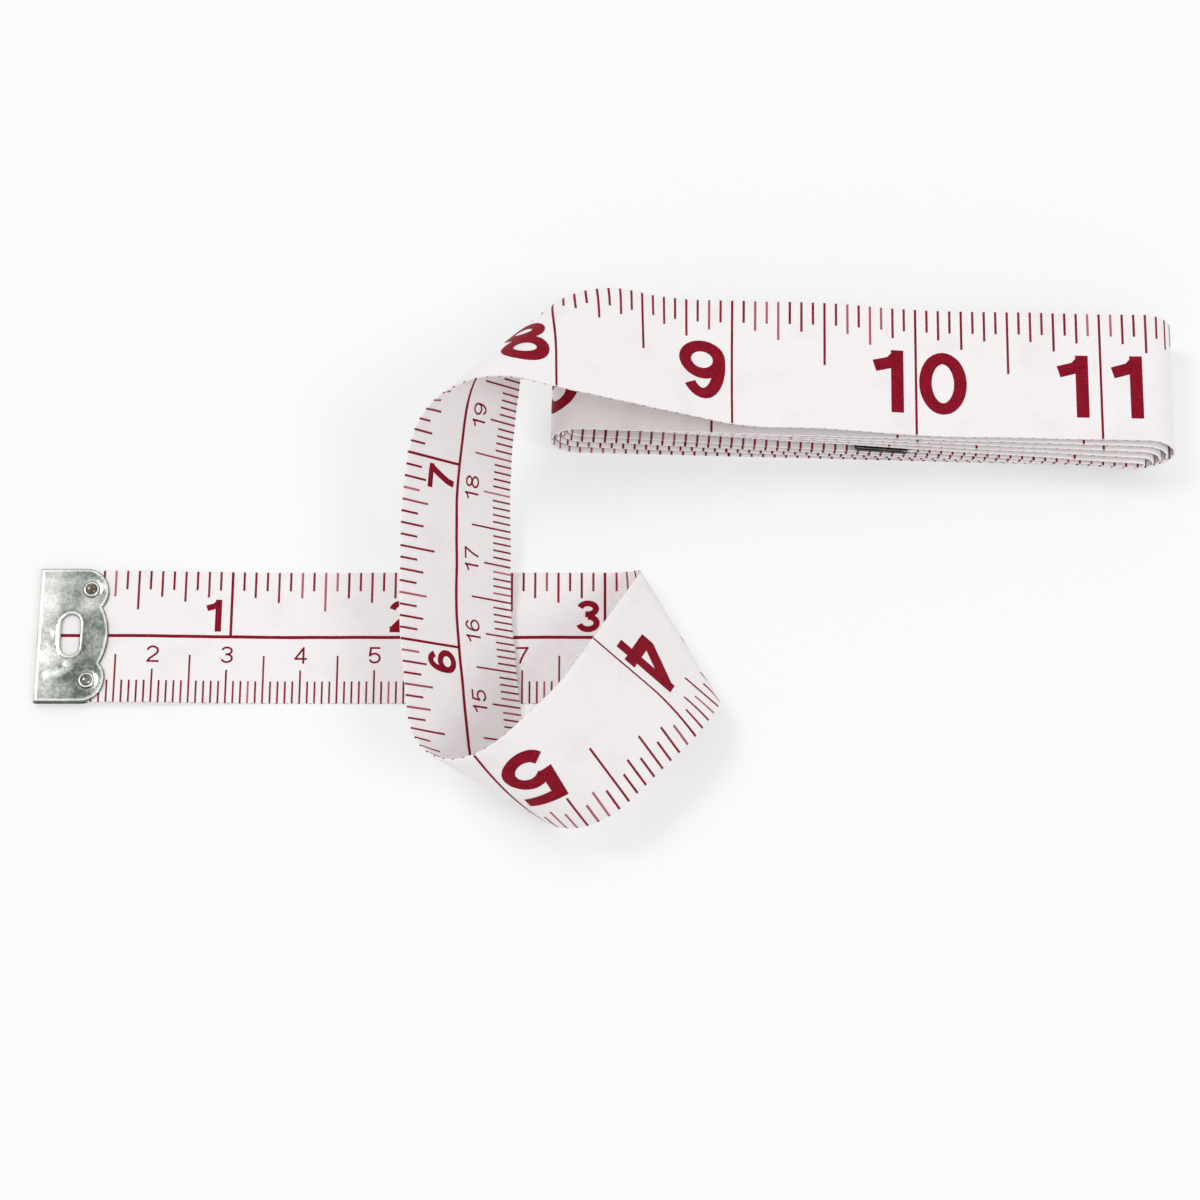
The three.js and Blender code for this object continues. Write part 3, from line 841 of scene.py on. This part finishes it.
RIVET_PLACE = (RIVET_FROM_EDGE, CLIP_WIDTH / 2 - CLIP_SIDE_MARGIN - RIVET_FROM_SIDE)
EDGE_DROP = 0.11
EDGE_ROLL_WIDTH = 0.24
BEAD_WIDTH = 0.42
BEAD_HEIGHT = 0.10
DIMPLE_RADIUS = 1.6
DIMPLE_DEPTH = 0.10
DIMPLE_SLOPE = 0.5
DENT_HEIGHT = 0.035
DENTS_PER_MM = 0.55
DENT_LAYER = 3.7
CREASE = [(4.4, -4.0), (4.7, -4.9), (3.6, -5.5), (1.9, -5.7)]
CREASE_WIDTH = 0.55
CREASE_HEIGHT = 0.07

# Where its sheet has vertices
CLIP_GRID = 0.24
OUTLINE_STEP = 0.18
FOLD_COLUMNS = (0.05, 0.12, 0.22, 0.34, 0.46, 0.55)
EDGE_ROLLS = (0.07, 0.15, 0.26)
BEAD_RINGS = (0.08, 0.16, 0.27, 0.42)
DIMPLE_RINGS = (1.08, 1.16, 1.24, 1.35, 1.5, 1.65, 1.8)
LEAST_SPACING = 0.03
WELD_DISTANCE = 1e-5
ON_FOLD = 1e-4

# How bright its metal is painted: its plain tone, a painted reflection in the band along the fold, painted
# highlights on raised forms and painted shade in hollows
PLAIN_SHINE = 0.22
# The band along the fold is a painted reflection
BAND_PAINTED_REFLECTION = 0.38
BAND_END = 2.6
BAND_FADE = 2.2
# Painted highlights on the rolled edge, the slot's bead, the fold, the ring in each dimple and the crease
RIM_PAINTED_HIGHLIGHT = 0.85
RIM_WIDTH = 0.13
SLOT_RIM_SHARE = 0.9
SLOT_RIM_WIDTH = 0.16
FOLD_RIM_SHARE = 0.8
FOLD_RIM_PLACE = 0.34
FOLD_RIM_WIDTH = 0.2
RING_PAINTED_HIGHLIGHT = 0.35
RING_INSET = 0.35
RING_WIDTH = 0.28
CREASE_PAINTED_HIGHLIGHT = 0.6
HOLLOW_SHADE = 0.7
RIVET_HOLLOW = (RIVET_HEAD_RADIUS + 0.08, 0.11)
BEAD_HOLLOW = (BEAD_WIDTH + 0.1, 0.12)
BEAD_HOLLOW_SHARE = 0.4
# The cut edges are painted dark as shade
CUT_EDGE_WIDTH = 0.10
CUT_EDGE_PAINTED_SHADE = 0.04
INNER_SHINE = 0.1
MOST_SHINE = 1.1
# Patches painted bright as highlights, and darker patches
PAINTED_HIGHLIGHT_PATCHES = [
    ((6.9, 4.6), 1.0, 0.45),
    ((2.3, -3.4), 1.3, 0.40),
    ((1.6, 5.2), 2.3, 0.34),
    ((4.5, 7.7), 1.2, 0.20),
    ((8.6, -1.5), 0.9, 0.20),
]
DARK_PATCHES = [
    ((5.2, -5.6), 1.0, 0.5),
    ((3.3, 3.6), 0.9, 0.2),
    ((6.3, -7.6), 0.8, 0.2),
    ((4.6, 0.2), 2.2, 0.12),
]


def clip_outline():
    """The outline from the fold's lower corner round the scalloped edge to its upper corner."""
    half_width = CLIP_WIDTH / 2
    lobe = LOBE_REACH - LOBE_RADIUS
    notch = NOTCH_WIDTH / 2
    drop = math.degrees(math.acos((NOTCH_REACH - lobe) / LOBE_RADIUS))
    sag = CLIP_LENGTH - NOTCH_REACH
    bulge = (notch ** 2 + sag ** 2) / (2 * sag)
    sweep = math.degrees(math.asin(notch / bulge))
    lobe_v = notch + LOBE_RADIUS * math.sin(math.radians(drop))
    corner = (LOBE_RADIUS, half_width - lobe_v)
    round_lobe = (LOBE_RADIUS, LOBE_RADIUS)
    return (
        [(0, -half_width)]
        + arc((lobe, -lobe_v), corner, -90, 0, 16)
        + arc((lobe, -lobe_v), round_lobe, 0, drop, 10)[1:]
        + arc((CLIP_LENGTH - bulge, 0), (bulge, bulge), -sweep, sweep, 30)[1:-1]
        + arc((lobe, lobe_v), round_lobe, -drop, 0, 10)
        + arc((lobe, lobe_v), corner, 0, 90, 16)[1:]
        + [(0, half_width)]
    )


def slot_outline(grow=0.0):
    half = (SLOT_LENGTH - SLOT_WIDTH) / 2
    radius = (SLOT_WIDTH / 2 + grow,) * 2
    upper = arc((SLOT_FROM_EDGE, half), radius, 0, 180, 18)
    return upper + arc((SLOT_FROM_EDGE, -half), radius, 180, 360, 18)


def resampled(path, step, closed):
    path = np.array(path + path[:1] if closed else path, float)
    lengths = np.linalg.norm(np.diff(path, axis=0), axis=1)
    reached = np.concatenate([[0], np.cumsum(lengths)])
    fine = np.linspace(0, reached[-1], math.ceil(reached[-1] / step) + 1)
    places = np.stack([np.interp(fine, reached, path[:, k]) for k in (0, 1)], axis=1)
    return places[:-1] if closed else places


def distance_to(path, places):
    """Distance of each place from a path whose neighbouring points differ."""
    best = np.full(len(places), np.inf)
    for start, step in zip(path[:-1], np.diff(path, axis=0)):
        share = np.clip((places - start) @ step / (step @ step), 0, 1)
        best = np.minimum(best, np.linalg.norm(start + share[:, None] * step - places, axis=1))
    return best


def inside(path, places):
    """Whether each place lies within a closed outline."""
    hits = np.zeros(len(places), bool)
    for (x0, y0), (x1, y1) in zip(path, np.roll(path, -1, axis=0)):
        if y0 != y1:
            crosses = (places[:, 1] < y0) != (places[:, 1] < y1)
            hits ^= crosses & (places[:, 0] < x0 + (places[:, 1] - y0) * (x1 - x0) / (y1 - y0))
    return hits


def smooth_step(value):
    value = np.clip(value, 0, 1)
    return value * value * (3 - 2 * value)


def spot(places, centre, size):
    return np.exp(-((places - np.array(centre)) ** 2).sum(axis=1) / (2 * size ** 2))


def ridge(distances, middle, width):
    return np.exp(-((distances - middle) / width) ** 2)


class Plate:
    """One plate of the clip at flat places, which knows how far each is from its forms."""

    def __init__(self, places, edge, slot):
        self.places = places
        self.u, self.v = places[:, 0], places[:, 1]
        self.to_edge = distance_to(edge, places)
        self.to_slot = distance_to(slot, places)
        self.to_rivet = np.hypot(self.u - RIVET_PLACE[0], np.abs(self.v) - RIVET_PLACE[1])
        self.crease = ridge(distance_to(resampled(CREASE, OUTLINE_STEP, False), places), 0, CREASE_WIDTH)
        self.dimple = smooth_step((DIMPLE_RADIUS - self.to_rivet) / DIMPLE_SLOPE)
        self.calm = smooth_step((np.minimum(self.to_edge, self.to_slot) - EDGE_ROLL_WIDTH) / BEAD_WIDTH)
        self.calm = self.calm * (1 - self.dimple)

    def dents(self):
        places = [Vector((x * DENTS_PER_MM, y * DENTS_PER_MM, DENT_LAYER)) for x, y in self.places]
        return np.array([noise.fractal(place, 1.0, 2.0, 3) for place in places])

    def height(self):
        """Height of the outer face over the clip's middle. It rounds down to the middle at the fold."""
        rolled = EDGE_DROP * np.clip(1 - self.to_edge / EDGE_ROLL_WIDTH, 0, 1) ** 2
        bead = BEAD_HEIGHT * np.sin(np.pi * np.clip(self.to_slot / BEAD_WIDTH, 0, 1))
        height = CLIP_HALF_THICKNESS - rolled + bead - DIMPLE_DEPTH * self.dimple
        height += self.calm * (DENT_HEIGHT * self.dents() + CREASE_HEIGHT * self.crease)
        fold = np.clip(1 - self.u / CLIP_HALF_THICKNESS, 0, 1)
        return height * np.sqrt(np.clip(1 - fold ** 2, 0, 1))

    def shine(self):
        """How bright the outer face is painted: its plain tone with painted highlights, a painted reflection
        and painted shade.
        """
        # Painted highlights on the rolled edge, the slot's bead, the fold and the ring in each dimple
        rim = ridge(self.to_edge, EDGE_ROLL_WIDTH, RIM_WIDTH)
        rim += SLOT_RIM_SHARE * ridge(self.to_slot, BEAD_WIDTH / 2, SLOT_RIM_WIDTH)
        rim += FOLD_RIM_SHARE * ridge(self.u, FOLD_RIM_PLACE, FOLD_RIM_WIDTH)
        ring = ridge(self.to_rivet, DIMPLE_RADIUS - RING_INSET, RING_WIDTH)
        # A painted reflection in the band along the fold
        band = 1 - smooth_step((self.u - BAND_END + BAND_FADE / 2) / BAND_FADE)
        # Painted shade in the hollows round the rivet heads and the slot's bead
        hollow = ridge(self.to_rivet, *RIVET_HOLLOW) + BEAD_HOLLOW_SHARE * ridge(self.to_slot, *BEAD_HOLLOW)
        shine = PLAIN_SHINE + BAND_PAINTED_REFLECTION * band + RIM_PAINTED_HIGHLIGHT * rim + RING_PAINTED_HIGHLIGHT * ring
        # A painted highlight on the crease, and painted shade in the hollows
        shine += CREASE_PAINTED_HIGHLIGHT * self.calm * self.crease - HOLLOW_SHADE * hollow
        # Painted highlight patches, and darker patches
        for patches, sign in ((PAINTED_HIGHLIGHT_PATCHES, 1), (DARK_PATCHES, -1)):
            for centre, size, strength in patches:
                shine += sign * strength * spot(self.places, centre, size)
        # Painted shade on the cut edges
        shine = np.where(self.to_edge < CUT_EDGE_WIDTH, CUT_EDGE_PAINTED_SHADE, shine)
        return np.clip(shine, 0, MOST_SHINE)


def closed_path(path):
    return np.vstack([path, path[:1]])


def loose_places(outline):
    """Places for the net: a grid, more columns by the fold, and rings by the edge, slot and rivets."""
    columns = np.arange(CLIP_GRID / 2, CLIP_LENGTH, CLIP_GRID)
    rows = np.arange(-CLIP_WIDTH / 2, CLIP_WIDTH / 2, CLIP_GRID)
    grid = np.stack(np.meshgrid(columns, rows), axis=-1).reshape(-1, 2)
    by_fold = [(u, v) for u in FOLD_COLUMNS for v in rows]
    rings = [slot_outline(grow) for grow in BEAD_RINGS]
    for radius in DIMPLE_RINGS:
        for side in (1, -1):
            centre = (RIVET_PLACE[0], side * RIVET_PLACE[1])
            rings.append(arc(centre, (radius, radius), 0, 360, 36)[:-1])
    tangent = np.gradient(outline, axis=0)[1:-1]
    inward = np.stack([-tangent[:, 1], tangent[:, 0]], axis=1)
    inward /= np.linalg.norm(inward, axis=1)[:, None]
    rolls = [outline[1:-1] + inward * depth for depth in EDGE_ROLLS]
    return np.vstack([grid, by_fold, *rings, *rolls])


def clip_net():
    """A plate's flat places, its triangles, and the slot that they leave open."""
    outline = resampled(clip_outline(), OUTLINE_STEP, False)
    slot = resampled(slot_outline(), OUTLINE_STEP, True)
    fold = resampled([(0, CLIP_WIDTH / 2), (0, -CLIP_WIDTH / 2)], OUTLINE_STEP, False)[1:-1]
    boundary = np.vstack([outline, fold])
    loose = loose_places(outline)
    keep = inside(boundary, loose) & ~inside(slot, loose)
    for path in (boundary, slot):
        keep &= distance_to(closed_path(path), loose) > LEAST_SPACING
    places = np.vstack([boundary, slot, loose[keep]])
    first, second = len(boundary), len(slot)
    edges = [(k, (k + 1) % first) for k in range(first)]
    edges += [(first + k, first + (k + 1) % second) for k in range(second)]
    made = delaunay_2d_cdt([Vector(p) for p in places], edges, [], 1, WELD_DISTANCE)
    flat = np.array([tuple(p) for p in made[0]])
    triangles = np.array([f for f in made[2] if len(f) == 3])
    triangles = triangles[~inside(slot, flat[triangles].mean(axis=1))]
    return flat, triangles, closed_path(slot)


def open_sides(triangles):
    """Sides that only one triangle has, in its own direction."""
    sides = [side for a, b, c in triangles for side in ((a, b), (b, c), (c, a))]
    known = set(sides)
    return [side for side in sides if side[::-1] not in known]


def build_clip_sheet():
    """Two plates joined at the fold. Each has an outer face, an inner face and walls on its open sides."""
    flat, triangles, slot = clip_net()
    plate = Plate(flat, np.array(clip_outline(), float), slot)
    height, shine = plate.height(), plate.shine()
    inner = np.clip(height - CLIP_SHEET, 0, None)
    count = len(flat)
    walls = [pair for pair in open_sides(triangles) if flat[list(pair), 0].max() > ON_FOLD]
    vertices, faces, brightness = [], [], []
    for side in (1, -1):
        base = len(vertices)
        for face in (height, inner):
            vertices += [(x, y, CLIPPED_MIDDLE + side * z) for (x, y), z in zip(flat, face)]
        # Outer faces take their tone with painted highlights, reflection and shade; inner faces a plain low
        # value
        brightness += shine.tolist() + [INNER_SHINE] * count
        for a, b, c in triangles + base:
            outer = (a, b, c) if side > 0 else (c, b, a)
            faces.append(outer)
            faces.append(tuple(k + count for k in reversed(outer)))
        for wall in walls:
            a, b = wall if side > 0 else reversed(wall)
            faces.append((b + base, a + base, a + base + count, b + base + count))
    sheet = mesh_object("start_clip_sheet", to_metres(np.array(vertices)), faces, tinned)
    add_attribute(sheet, "brightness", brightness)
    return sheet


# The start clip's rivets, turned: a dome on a low flange, a shank and a clenched tail

DOME_RADIUS = 0.80
DOME_FOOT = 0.12
FLANGE = [(0.88, 0.09), (1.0, 0.08), (RIVET_HEAD_RADIUS, 0.03), (RIVET_HEAD_RADIUS, 0)]
TAIL_TAPER = 0.8
RIVET_SEGMENTS = 48
RIVET_WELD = 1e-4
# The dome's own dark tone, and its flange painted bright as a highlight
DOME_SHINE = 0.1
FLANGE_PAINTED_HIGHLIGHT = 0.95


def rivet_profile():
    """Places (radius, height over the clip's middle) from the top of the dome to the end of the tail."""
    seat = CLIP_HALF_THICKNESS + RIVET_SEAT_CLEARANCE
    profile = [(0.0, seat + RIVET_HEAD_HEIGHT)]
    for angle in range(10, 91, 8):
        a = math.radians(angle)
        rise = DOME_FOOT + (RIVET_HEAD_HEIGHT - DOME_FOOT) * math.cos(a)
        profile.append((DOME_RADIUS * math.sin(a), seat + rise))
    profile += [(radius, seat + rise) for radius, rise in FLANGE]
    profile += [(RIVET_SHANK_RADIUS, seat), (RIVET_SHANK_RADIUS, -seat), (RIVET_TAIL_RADIUS, -seat)]
    profile.append((RIVET_TAIL_RADIUS * TAIL_TAPER, -seat - RIVET_TAIL_HEIGHT * TAIL_TAPER))
    profile.append((0.0, -seat - RIVET_TAIL_HEIGHT))
    return profile


def build_rivet(name, side):
    profile = rivet_profile()
    vertices, faces, brightness = [], [], []
    for radius, z in profile:
        # The flange is painted bright as a highlight; the dome keeps its dark tone
        shine = FLANGE_PAINTED_HIGHLIGHT if radius > DOME_RADIUS and z > 0 else DOME_SHINE
        for k in range(RIVET_SEGMENTS):
            a = 2 * math.pi * k / RIVET_SEGMENTS
            x = RIVET_PLACE[0] + radius * math.cos(a)
            y = side * RIVET_PLACE[1] + radius * math.sin(a)
            vertices.append((x, y, CLIPPED_MIDDLE + z))
            brightness.append(shine)
    for row in range(len(profile) - 1):
        for k in range(RIVET_SEGMENTS):
            a, b = row * RIVET_SEGMENTS + k, row * RIVET_SEGMENTS + (k + 1) % RIVET_SEGMENTS
            faces.append((a, a + RIVET_SEGMENTS, b + RIVET_SEGMENTS, b))
    rivet = mesh_object(name, to_metres(np.array(vertices)), faces, rivet_steel)
    add_attribute(rivet, "brightness", brightness)
    mesh = bmesh.new()
    mesh.from_mesh(rivet.data)
    bmesh.ops.remove_doubles(mesh, verts=mesh.verts, dist=RIVET_WELD * MM)
    mesh.to_mesh(rivet.data)
    mesh.free()
    return rivet


sheet = build_clip_sheet()
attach(sheet, "root")
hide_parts("start_clip")
for side, edge in ((1, "inch_edge"), (-1, "metric_edge")):
    rivet = build_rivet(f"start_clip_dome_rivet_{edge}", side)
    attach(rivet, "root")
    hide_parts(f"start_clip_rivet_{edge}")

# The end clip and its rivets keep their solids; the clip takes the darker copy of the tin, painted dark as
# shade
for name, material in (
    ("end_clip", tin_in_painted_shade),
    ("end_clip_rivet_inch_edge", rivet_steel),
    ("end_clip_rivet_metric_edge", rivet_steel),
):
    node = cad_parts[name]
    node.data.materials.clear()
    node.data.materials.append(material)


# The studio, in metres

FLOOR_REACH = 3.0
LAMP_SIZE = 1.1
LAMPS = [("key", (-1.4, 0.8, 2.3), 18.0), ("fill", (1.4, -0.9, 2.0), 12.0)]
CAMERA_CLIP = (0.005, 20)


def build_floor():
    reach = FLOOR_REACH
    corners = [(-reach, -reach, 0), (reach, -reach, 0), (reach, reach, 0), (-reach, reach, 0)]
    floor = mesh_object("floor", corners, [(0, 1, 2, 3)], floor_material())


def add_lamp(name, place, energy):
    """A round soft lamp aimed at the middle of the floor."""
    data = bpy.data.lights.new(name, "AREA")
    data.shape = "DISK"
    data.size = LAMP_SIZE
    data.energy = energy
    lamp = bpy.data.objects.new(name, data)
    bpy.context.scene.collection.objects.link(lamp)
    lamp.location = place
    lamp.rotation_mode = "QUATERNION"
    lamp.rotation_quaternion = (-Vector(place)).to_track_quat("-Z", "Y")


def build_world():
    """Plain white light, which the camera and metal see at full strength."""
    world = bpy.data.worlds.new("studio")
    bpy.context.scene.world = world
    world.use_nodes = True
    nodes, links = world.node_tree.nodes, world.node_tree.links
    background = nodes["Background"]
    background.inputs["Color"].default_value = (1.0, 1.0, 1.0, 1)
    brighter = math_node(nodes, links, "MULTIPLY", seen_or_mirrored(nodes, links), 1 - AMBIENT)
    links.new(math_node(nodes, links, "ADD", brighter, AMBIENT), background.inputs["Strength"])


def build_camera():
    data = bpy.data.cameras.new("camera")
    data.sensor_width = SENSOR_WIDTH
    data.lens = PHOTO_FOCAL_PIXELS / PHOTO_SIZE * SENSOR_WIDTH
    data.clip_start, data.clip_end = CAMERA_CLIP
    camera = bpy.data.objects.new("camera", data)
    bpy.context.scene.collection.objects.link(camera)
    aim = Vector(to_metres(np.array([*CAMERA_AIM, 0.0])))
    elevation = math.radians(CAMERA_ELEVATION)
    back = Vector((0, -math.cos(elevation), math.sin(elevation)))
    camera.location = aim + back * CAMERA_DISTANCE * MM
    camera.rotation_mode = "QUATERNION"
    camera.rotation_quaternion = (-back).to_track_quat("-Z", "Y")
    bpy.context.scene.camera = camera


build_floor()
for lamp in LAMPS:
    add_lamp(*lamp)
build_world()
build_camera()
bpy.context.scene.view_settings.view_transform = "Standard"
